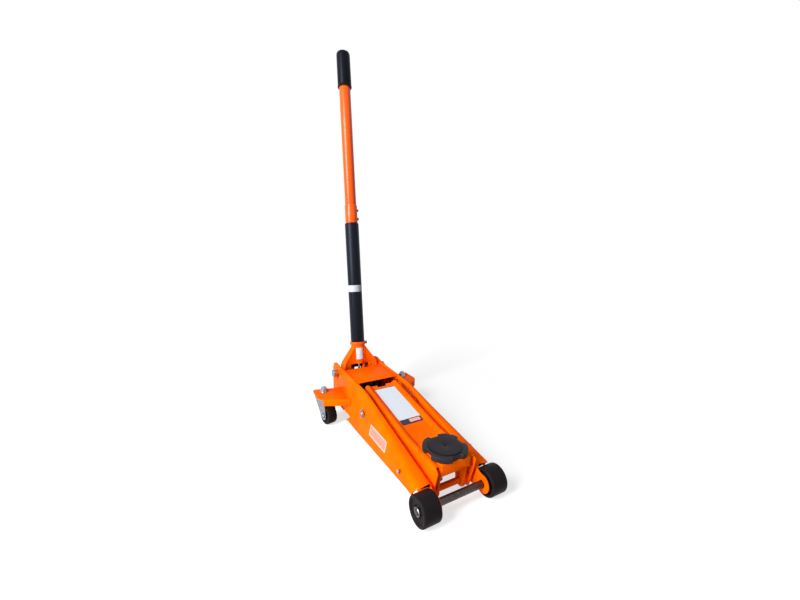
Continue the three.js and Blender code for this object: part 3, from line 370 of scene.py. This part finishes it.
for side, sign in (("left", 1), ("right", -1)):
    for part in ("caster_fork", "caster_axle"):
        name = f"{side}_{part}"
        fitted(softened(name, 0.5), f"caster_{side}", "zinc", zinc, name)
    wheel = turned(f"{side}_caster_wheel_finished", [
        (6.5, -16.5), (12, -16.5), (13, -12.5), (22, -12.5), (24, -16), (25, -16.5), (28, -16.5),
        (30.8, -15.3), (CASTER_RADIUS, -12.5), (CASTER_RADIUS, 12.5), (30.8, 15.3), (28, 16.5),
        (25, 16.5), (24, 16), (22, 12.5), (13, 12.5), (12, 16.5), (6.5, 16.5), (6.5, -16.5)])
    across = TRAIL * math.sin(CASTER_TURN)
    place = at(STUD_X + TRAIL * math.cos(CASTER_TURN), sign * (STUD_Y - across), CASTER_RADIUS)
    placed(wheel, place, (math.radians(90), 0, -sign * CASTER_TURN))
    rounded(wheel, 0.6, angle=WHEEL_SHARP)
    fitted(wheel, f"caster_wheel_{side}", "nylon", nylon, f"{side}_caster_wheel")


# ---- Hydraulic unit ----
# A cast and machined block with a drawn reservoir tube, painted satin black after assembly.
# A black ear on each side of the block, with a raised boss, meets the side plate. The ears are
# painted shade: they darken the inside of the side plates, seen through the gap beside the arm.

# Satin black paint: brushed over the casting's skin, so it stays black in shade and gives a low
# broken sheen on the edges.
black_paint, tree, coords = started("satin black paint")
GRAIN = 3.0                # millimetres across the casting's skin marks under the paint
grain = node(tree, "ShaderNodeTexNoise", {"Vector": coords, "Scale": 1000 / GRAIN, "Detail": 3.0})
skin = node(tree, "ShaderNodeBump", {
    "Height": grain.outputs["Fac"], "Distance": 0.0001, "Strength": 0.5})
black = node(tree, "ShaderNodeBsdfPrincipled", {
    "Base Color": colour("#171619"), "Roughness": 0.42, "IOR": 1.5, "Specular IOR Level": 0.2,
    "Normal": skin.outputs["Normal"]})
node(tree, "ShaderNodeOutputMaterial", {"Surface": black.outputs["BSDF"]})

for name in ("power_unit", "cylinder", "unit_mount", "left_unit_bolt", "right_unit_bolt"):
    fitted(softened(name, 1.0), "frame", "black_steel", black_paint, name)


FACING = 0.9               # the cosine of the angle within which a face looks one way


def outward(piece, direction):
    """Selects the faces of a piece that look one way, and opens it in edit mode."""
    alone(piece)
    bpy.ops.object.mode_set(mode="EDIT")
    bpy.ops.mesh.select_mode(type="FACE")
    bpy.ops.mesh.select_all(action="DESELECT")
    bpy.ops.object.mode_set(mode="OBJECT")
    for face in piece.data.polygons:
        face.select = face.normal.dot(Vector(direction)) > FACING
    bpy.ops.object.mode_set(mode="EDIT")


EAR_SIZE = (0.065, 0.02, 0.03)      # metres along, across and up
EAR_X, EAR_Y, EAR_Z = -607, 55, 85  # millimetres, the middle of the ear
EAR_SHOULDER = 0.005       # metres from the ear's edge in to its boss
EAR_BOSS = 0.0145          # metres that the boss stands out

# Black ears as painted shade: they cover the side plates' inner faces between the block and the
# plates.
for side, sign in (("left", 1), ("right", -1)):
    bpy.ops.object.select_all(action="DESELECT")
    bpy.ops.mesh.primitive_cube_add(
        size=1, location=at(EAR_X, sign * EAR_Y, EAR_Z), scale=EAR_SIZE)
    shade_ear = bpy.context.object
    shade_ear.name = f"{side}_unit_shade_ear"
    bpy.ops.object.transform_apply(location=True, rotation=True, scale=True)
    outward(shade_ear, (0, sign, 0))
    bpy.ops.mesh.inset(thickness=EAR_SHOULDER)
    bpy.ops.mesh.extrude_region_move(TRANSFORM_OT_translate={"value": (0, sign * EAR_BOSS, 0)})
    bpy.ops.mesh.select_mode(type="VERT")
    bpy.ops.object.mode_set(mode="OBJECT")
    fitted(rounded(shade_ear, 2.0, segments=3), "frame", "black_steel", black_paint)

fitted(softened("ram_rod", 0.5), "ram", "bare_steel", drawn_steel, "ram_rod")
# The ram's fork takes the satin black paint instead of bare steel: painted shade in the gap between
# the cover and the arm.
fitted(softened("ram_fork", 0.5), "ram", "black_steel", black_paint, "ram_fork")


# ---- Lift arm ----
# A deep pressed channel with a crest along each edge, lugs at the front for the bolster's pin
# and bosses at the back for the pivot shaft. A strip of sheet closes it behind the saddle.

arm = fitted(softened("lift_arm", 1.0), "arm", "orange_paint", powder_coat, "lift_arm")
fitted(softened("bolster_pin", 0.8), "arm", "orange_paint", powder_coat, "bolster_pin")
fitted(softened("pivot_shaft", 0.6), "frame", "orange_paint", powder_coat, "pivot_shaft")
fitted(softened("crank_pin", 0.4), "arm", "bare_steel", drawn_steel, "crank_pin")
fitted(softened("link_anchor", 0.5), "frame", "black_steel", black_paint, "link_anchor")
fitted(softened("levelling_link", 0.4), "link", "bare_steel", drawn_steel, "levelling_link")


def sheet(name, length, width, corner, strips=1):
    """A flat sheet in millimetres on the XY plane, with rounded corners, ruled across."""
    bpy.ops.object.select_all(action="DESELECT")
    bpy.ops.mesh.primitive_plane_add(size=1)
    piece = bpy.context.object
    piece.name = name
    piece.scale = (length / 1000, width / 1000, 1)
    bpy.ops.object.transform_apply(location=True, rotation=True, scale=True)
    bpy.ops.object.mode_set(mode="EDIT")
    bpy.ops.mesh.select_all(action="SELECT")
    bpy.ops.mesh.bevel(offset=corner / 1000, segments=4, affect="VERTICES")
    for step in range(1, strips):
        bpy.ops.mesh.select_all(action="SELECT")
        line = (step / strips - 0.5) * length / 1000
        bpy.ops.mesh.bisect(plane_co=(line, 0, 0), plane_no=(1, 0, 0))
    bpy.ops.object.mode_set(mode="OBJECT")
    return piece


def thickened(piece, thickness):
    """Gives a flat sheet its thickness in millimetres, on the side that it faces."""
    return applied(piece, "SOLIDIFY", "thickness", thickness=thickness / 1000, offset=1)


STRIP_X, STRIP_Z = -120, 102.4      # millimetres, the middle of the closing strip
closing = placed(sheet("arm_closing_strip", 17, 90, 2), at(STRIP_X, 0, STRIP_Z))
closing = thickened(closing, 2)
fitted(rounded(closing, 0.4), "arm", "orange_paint", powder_coat)


# ---- Bolster ----
# A yoke folded and welded from steel plate and coated with the arm. It carries the saddle's
# stem and stays level as the arm rises.

fitted(softened("bolster", 0.8), "bolster_body", "orange_paint", powder_coat, "bolster")


# ---- Saddle ----
# A sand-cast iron cup, tumbled and dipped in dark paint. It turns on the bolster and has a
# moulded rubber pad in its dish.

# Dipped casting: sand-cast iron under a thin dark coat, so it is a rough near-black that
# sparkles a little from the sand's pits.
cast_iron, tree, coords = started("dark painted casting")
SAND = 1.6                 # millimetres: moulding sand, drawn a little coarser than it is
sand = node(tree, "ShaderNodeTexNoise", {"Vector": coords, "Scale": 1000 / SAND, "Detail": 4.0})
pits = node(tree, "ShaderNodeBump", {
    "Height": sand.outputs["Fac"], "Distance": 0.0003, "Strength": 0.6})
iron = node(tree, "ShaderNodeBsdfPrincipled", {
    "Base Color": colour("#231F22"), "Metallic": 0.0, "Roughness": 0.5, "IOR": 1.5,
    "Specular IOR Level": 0.15, "Normal": pits.outputs["Normal"]})
node(tree, "ShaderNodeOutputMaterial", {"Surface": iron.outputs["BSDF"]})

# Black rubber: moulded and matt, so it differs from the casting only by a softer, smoother and
# slightly violet black.
rubber, tree, coords = started("moulded black rubber")
BLOOM = 12                 # millimetres across the dull bloom on the rubber
bloom = node(tree, "ShaderNodeTexNoise", {"Vector": coords, "Scale": 1000 / BLOOM, "Detail": 3.0})
dull = node(tree, "ShaderNodeMapRange", {
    "Value": bloom.outputs["Fac"], "To Min": 0.38, "To Max": 0.5})
soft = node(tree, "ShaderNodeBsdfPrincipled", {
    "Base Color": colour("#151218"), "Roughness": dull.outputs["Result"], "IOR": 1.52,
    "Specular IOR Level": 0.12})
node(tree, "ShaderNodeOutputMaterial", {"Surface": soft.outputs["BSDF"]})

SADDLE_X = -64             # millimetres from the front axle back to the saddle's middle

fitted(softened("saddle", 1.2, segments=3), "saddle_body", "dark_cast", cast_iron, "saddle")
pad = turned("saddle_pad_finished", [
    (2.5, 123.4), (2.5, 125.2), (5, 125.8), (8, 126.6), (24, 126.9), (40, 127.3), (42.6, 127.1),
    (43.6, 126.4), (43.6, 121.8), (2.5, 121.8), (2.5, 123.4)])
pad = rounded(placed(pad, at(SADDLE_X, 0, 0)), 0)
fitted(pad, "saddle_body", "black_rubber", rubber, "saddle_pad")


# ---- Handle socket ----
# Two swept cheeks and two panels welded around a short tube, which swings on a bolt at each
# side; a roller between two lugs works the pump. A black rubber sheet inside the rear panel is
# painted shade: it darkens the space behind the release rod.

SOCKET_PIVOT = at(-621, 0, 143)
LEAN = math.radians(-6.4)


def on_handle(piece):
    """Carries a shape drawn upright about the socket's pivot onto the leaning handle."""
    return placed(piece, SOCKET_PIVOT, (0, LEAN, 0))


fitted(softened("handle_socket", 1.0), "socket", "orange_paint", powder_coat, "handle_socket")
fitted(softened("pump_roller", 0.4), "socket", "bare_steel", drawn_steel, "pump_roller")
# A black rubber sheet on the inside of the rear panel, as painted shade behind the release rod.
SHADE_SHEET_PLACE = (-0.0138, 0, 0.0225)   # metres from the pivot, on the inside of the rear panel
shade_sheet = placed(sheet("socket_shade_sheet", 28, 110, 3), SHADE_SHEET_PLACE, (0, math.radians(90), 0))
fitted(rounded(thickened(on_handle(shade_sheet), 1.0), 0), "socket", "black_rubber", rubber)

# A weld runs up each side of the short tube, where it meets the front panel.
SEAM_X, SEAM_Y = 0.0195, 0.0182     # metres from the tube's axis
SEAM_LOW, SEAM_HIGH = 0.03, 0.094   # metres up from the pivot
leaning = Matrix.Rotation(LEAN, 3, "Y")
for side, sign in (("left", 1), ("right", -1)):
    low, high = [SOCKET_PIVOT + leaning @ Vector((SEAM_X, sign * SEAM_Y, z))
                 for z in (SEAM_LOW, SEAM_HIGH)]
    bead(f"{side}_barrel_weld", low, high, 1.8, "socket")


# ---- Handle ----
# Two steel tubes, the upper one plugged into the lower and held by snap buttons; the lower
# one is clamped in a turning sleeve in the socket. The tubes are coated to a higher gloss.

# Gloss powder coat: baked smoother on the round tube, so the light draws one pale streak down
# it between two darker orange edges. Its base orange is painted darker than the plates' coat,
# as painted shade over the whole tube.
shaded_tube_coat, tree, coords = started("gloss orange powder coat")
FLOWED = 4                 # millimetres across one ripple of the smoother skin
skin = node(tree, "ShaderNodeTexNoise", {"Vector": coords, "Scale": 1000 / FLOWED, "Detail": 1.0})
skin_bump = node(tree, "ShaderNodeBump", {
    "Height": skin.outputs["Fac"], "Distance": 0.00006, "Strength": 0.4})
fine = node(tree, "ShaderNodeMapRange", {
    "Value": skin.outputs["Fac"], "To Min": 0.26, "To Max": 0.36})
# The base colour is painted shade: a darker copy of the plates' orange.
gloss_coat = node(tree, "ShaderNodeBsdfPrincipled", {
    "Base Color": colour("#F25000"), "Roughness": fine.outputs["Result"], "IOR": 1.5,
    "Specular IOR Level": 0.34, "Normal": skin_bump.outputs["Normal"]})
node(tree, "ShaderNodeOutputMaterial", {"Surface": gloss_coat.outputs["BSDF"]})

fitted(softened("turning_sleeve", 0.8), "handle", "orange_paint", shaded_tube_coat, "turning_sleeve")
fitted(softened("release_rod", 0.2), "handle", "zinc", zinc, "release_rod")
fitted(softened("clamp_screw", 0.5), "handle", "black_steel", black_paint, "clamp_screw")

# Each pair is a radius and a height above the socket's pivot, once round a piece's wall.
lower = on_handle(turned("lower_tube_finished", [
    (18.3, 46), (20.7, 46), (20.7, 636), (18.3, 636), (18.3, 46)]))
fitted(rounded(lower, 0.3), "handle", "orange_paint", shaded_tube_coat, "lower_tube")
ring = on_handle(turned("joint_ring_finished", [
    (21, 565), (22.4, 565), (22.9, 566.5), (22.9, 630), (22.2, 632), (21, 632), (21, 565)]))
fitted(rounded(ring, 0.3), "handle", "orange_paint", shaded_tube_coat, "joint_ring")
upper = on_handle(turned("upper_tube_finished", [
    (15.4, 571), (18, 571), (18, 636.3), (20.7, 636.3), (20.7, 1100), (18.3, 1100), (18.3, 648),
    (15.4, 648), (15.4, 571)]))
fitted(rounded(upper, 0.3), "handle", "orange_paint", shaded_tube_coat, "upper_tube")
for name in ("lower_snap_button", "upper_snap_button"):
    fitted(softened(name, 0.4), "handle", "black_steel", black_paint, name)


# ---- Foam sleeve and grip ----
# Closed-cell black foam pushed over the lower tube, and a moulded rubber grip on the end,
# with a rolled rim where it meets the tube.

# Closed-cell foam: skinned black rubber foam, so it is deep black with a broad bluish sheen and
# a fine dimpled break-up.
black_foam, tree, coords = started("black closed-cell foam")
CELL = 1.4                 # millimetres: foam cells, drawn coarse enough to show
cells = node(tree, "ShaderNodeTexVoronoi", {"Vector": coords, "Scale": 1000 / CELL})
dimples = node(tree, "ShaderNodeBump", {
    "Height": cells.outputs["Distance"], "Distance": 0.0003, "Strength": 0.5})
foam = node(tree, "ShaderNodeBsdfPrincipled", {
    "Base Color": colour("#101218"), "Roughness": 0.36, "IOR": 1.45, "Specular IOR Level": 0.17,
    "Specular Tint": colour("#C4D2F2"), "Normal": dimples.outputs["Normal"]})
node(tree, "ShaderNodeOutputMaterial", {"Surface": foam.outputs["BSDF"]})

sleeve = on_handle(turned("foam_sleeve_finished", [
    (21, 111), (24, 111), (25.4, 111.8), (26, 113.4), (26, 561.6), (25.4, 563.3), (24, 564),
    (21, 564), (21, 111)]))
fitted(rounded(sleeve, 0), "handle", "foam", black_foam, "foam_sleeve")

# Grip rubber: moulded in a polished tool and worn by hands, so it is blacker and glossier than
# the saddle's pad, with a narrow bluish streak.
grip_rubber, tree, coords = started("glossy moulded rubber")
HANDLED = 20               # millimetres between patches that hands have polished
polish = node(tree, "ShaderNodeTexNoise", {
    "Vector": coords, "Scale": 1000 / HANDLED, "Detail": 2.0})
sheen = node(tree, "ShaderNodeMapRange", {
    "Value": polish.outputs["Fac"], "To Min": 0.34, "To Max": 0.44})
moulding = node(tree, "ShaderNodeBsdfPrincipled", {
    "Base Color": colour("#0B0D12"), "Roughness": sheen.outputs["Result"], "IOR": 1.52,
    "Specular IOR Level": 0.08, "Specular Tint": colour("#C4D2F2")})
node(tree, "ShaderNodeOutputMaterial", {"Surface": moulding.outputs["BSDF"]})

grip = on_handle(turned("grip_finished", [
    (21, 1064), (25.2, 1064), (25.9, 1065.2), (26, 1067.4), (25.3, 1069), (24.7, 1070.4),
    (25.2, 1073), (24.8, 1178), (24.2, 1183), (22.6, 1186.8), (19.5, 1189.2), (15, 1189.9),
    (4, 1190), (4, 1188), (18, 1102.3), (21, 1102.3), (21, 1064)]))
fitted(rounded(grip, 0.3), "handle", "black_rubber", grip_rubber, "grip")


# ---- Plain panels ----
# Blank stickers of vinyl film, cut out and pressed on by hand: one in the arm's sunk panel with
# a dark end, one on the side plate, one on the socket's barrel and a band around the foam.

LIFT = 9                   # millimetres between slight rises in the film
FILM = 0.2                 # millimetres, the thickness of a sticker


# Vinyl film: smooth soft plastic with a satin face, so it is flatter in colour and calmer than
# the coat around it, with a faint unevenness where air is left under it.
def vinyl(name, ground):
    """A vinyl film with one colour all over."""
    film, tree, coords = started(name)
    rise = node(tree, "ShaderNodeTexNoise", {"Vector": coords, "Scale": 1000 / LIFT, "Detail": 1.0})
    ripple = node(tree, "ShaderNodeBump", {
        "Height": rise.outputs["Fac"], "Distance": 0.0001, "Strength": 0.4})
    surface = node(tree, "ShaderNodeBsdfPrincipled", {
        "Base Color": colour(ground), "Roughness": 0.35, "IOR": 1.46,
        "Specular IOR Level": 0.3, "Normal": ripple.outputs["Normal"]})
    node(tree, "ShaderNodeOutputMaterial", {"Surface": surface.outputs["BSDF"]})
    return film


white_vinyl = vinyl("white vinyl film", "#C9D0DA")
dark_vinyl = vinyl("dark violet vinyl film", "#2A2433")
pale_vinyl = vinyl("pale red vinyl film", "#E0A090")
blush_vinyl = vinyl("blush vinyl film", "#D8A093")
rose_vinyl = vinyl("faded rose vinyl film", "#BC7A6C")
grey_vinyl = vinyl("grey vinyl film", "#ADB1BA")


def pressed(piece, onto, axis, thickness):
    """Presses a sheet onto a surface along an axis and gives it its thickness."""
    applied(piece, "SHRINKWRAP", "pressed on", target=onto, wrap_method="PROJECT",
            use_negative_direction=True, use_positive_direction=True, offset=0.00005,
            **{f"use_project_{axis}": True})
    return rounded(thickened(piece, thickness), 0)


PANEL_FALL = 0.182         # how far the panel drops towards the saddle per length along it
PANEL_X, PANEL_Z = -155, 103        # millimetres, a place on the panel's middle line
HOVER = 3                  # millimetres above the panel that a sticker starts from


def on_panel(name, material, x, y, length, width, corner, thickness):
    """A sticker on the arm's panel, centred at x and y and sized in millimetres."""
    height = PANEL_Z + PANEL_FALL * (PANEL_X - x) + HOVER
    piece = placed(sheet(name, length, width, corner), at(x, y, height),
                   (0, math.atan(PANEL_FALL), 0))
    return fitted(pressed(piece, arm, "z", thickness), "arm", "nylon", material)


# A white field, with a dark bar and a pale box on the bar at its front end, and a dark edge.
on_panel("panel_film_white", white_vinyl, -320, 0.5, 168, 72, 2, FILM)
on_panel("panel_film_dark", dark_vinyl, -225.5, 0.5, 23, 71, 4, FILM)
on_panel("panel_film_edge", dark_vinyl, -403.5, 0.5, 3, 72, 0.5, 0.3)
on_panel("panel_film_box", pale_vinyl, -227, 12, 13, 36, 2, 0.5)

SIDE_FILM_PLACE = at(-237, -120, 84)
for name, material, length, height, thickness in (
        ("side_film", blush_vinyl, 106, 31, FILM), ("side_film_field", rose_vinyl, 96, 22, 0.35)):
    piece = placed(sheet(name, length, height, 2, strips=12), SIDE_FILM_PLACE,
                   (math.radians(90), 0, 0))
    fitted(pressed(piece, side_plates["right"], "y", thickness), "frame", "nylon", material)


def wrapped(name, radius, low, high, middle, sweep):
    """A film wrapped round the socket's axis: heights in millimetres, angles in degrees."""
    bpy.ops.object.select_all(action="DESELECT")
    bpy.ops.mesh.primitive_plane_add(size=1)
    piece = bpy.context.object
    piece.name = name
    bpy.ops.object.mode_set(mode="EDIT")
    bpy.ops.mesh.select_all(action="SELECT")
    bpy.ops.mesh.merge(type="CENTER")
    bpy.ops.transform.translate(value=(radius / 1000, 0, low / 1000))
    bpy.ops.mesh.extrude_vertices_move(
        TRANSFORM_OT_translate={"value": (0, 0, (high - low) / 1000)})
    bpy.ops.mesh.select_all(action="SELECT")
    bpy.ops.mesh.spin(steps=20, angle=math.radians(sweep), center=(0, 0, 0), axis=(0, 0, 1))
    bpy.ops.mesh.select_all(action="SELECT")
    bpy.ops.mesh.normals_make_consistent(inside=False)
    bpy.ops.object.mode_set(mode="OBJECT")
    return placed(piece, (0, 0, 0), (0, 0, math.radians(middle + sweep / 2)))


sticker = on_handle(wrapped("barrel_film", 26.1, 45, 88, -13, 62))
fitted(rounded(thickened(sticker, FILM), 0), "socket", "nylon", white_vinyl)
band = on_handle(turned("foam_band", [
    (26.05, 304), (26.3, 304), (26.3, 329), (26.05, 329), (26.05, 304)]))
fitted(rounded(band, 0), "handle", "nylon", grey_vinyl)


# ---- Floor, light and camera ----
# A white floor, one tall soft light from the jack's right-hand side, a weak white sky and a
# near, wide camera. Floor and sky look bright but give the jack little light.

def looked_at(tree):
    """1 where the camera, a mirror or glass looks, and 0 where a surface gathers light."""
    ray = node(tree, "ShaderNodeLightPath")
    seen = node(tree, "ShaderNodeMath", {
        0: ray.outputs["Is Camera Ray"], 1: ray.outputs["Is Glossy Ray"]}, operation="MAXIMUM")
    shown = node(tree, "ShaderNodeMath", {
        0: seen.outputs["Value"], 1: ray.outputs["Is Transmission Ray"]}, operation="MAXIMUM")
    return shown.outputs["Value"]


# The floor: matt and grey to the light, so that it takes the jack's shadow, and lifted to white
# for the eye, a little more with every step away from the jack.
floor_white, tree, coords = started("white floor")
far = node(tree, "ShaderNodeVectorMath", {0: coords}, operation="LENGTH")
rise = node(tree, "ShaderNodeMapRange", {
    "Value": far.outputs["Value"], "From Min": 0.7, "From Max": 2.2,
    "To Min": 0.68, "To Max": 0.92})
lift = node(tree, "ShaderNodeMath", {
    0: looked_at(tree), 1: rise.outputs["Result"]}, operation="MULTIPLY")
matt = node(tree, "ShaderNodeBsdfDiffuse", {"Color": colour("#A8A8A8")})
glow = node(tree, "ShaderNodeEmission", {"Color": (1, 1, 1, 1), "Strength": lift.outputs["Value"]})
both = node(tree, "ShaderNodeAddShader", {0: matt.outputs["BSDF"], 1: glow.outputs["Emission"]})
node(tree, "ShaderNodeOutputMaterial", {"Surface": both.outputs["Shader"]})
bpy.ops.mesh.primitive_plane_add(size=40, location=(0, 0, 0))
floor = bpy.context.object
floor.name = "floor"
floor.data.materials.append(floor_white)
floor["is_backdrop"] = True

world = bpy.data.worlds.new("studio")
world.use_nodes = True
bpy.context.scene.world = world
tree = world.node_tree
tree.nodes.clear()
weak = node(tree, "ShaderNodeBackground", {"Color": (1, 1, 1, 1), "Strength": 0.22})
full = node(tree, "ShaderNodeBackground", {"Color": (1, 1, 1, 1), "Strength": 1.0})
sky = node(tree, "ShaderNodeMixShader", {
    0: looked_at(tree), 1: weak.outputs["Background"], 2: full.outputs["Background"]})
node(tree, "ShaderNodeOutputWorld", {"Surface": sky.outputs["Shader"]})

bpy.ops.object.light_add(type="AREA", location=(0.75, -2.55, 1.75))
lamp = bpy.context.object
lamp.name = "key"
lamp.data.shape = "RECTANGLE"
lamp.data.size = 1.1
lamp.data.size_y = 2.4
lamp.data.energy = 205
LIT = Vector((0, 0, 0.4))  # metres, the place that the light points at
lamp.rotation_euler = (LIT - lamp.location).to_track_quat("-Z", "Y").to_euler()
lamp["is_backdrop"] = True

# The camera's own directions, and its place in millimetres from the front axle.
right = Vector((0.49229, 0.87035, 0.01182))
up = Vector((-0.14356, 0.06779, 0.98732))
back = Vector((0.85851, -0.48774, 0.15832))
bpy.ops.object.camera_add()
camera = bpy.context.object
camera.matrix_world = Matrix.LocRotScale(
    at(568.04, -495.08, 624.0), Matrix((right, up, back)).transposed(), None)
camera.data.lens = 15.3625
camera.data.sensor_width = 36
camera.data.clip_start = 0.01
bpy.context.scene.camera = camera
bpy.context.scene.view_settings.view_transform = "Standard"

low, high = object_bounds()
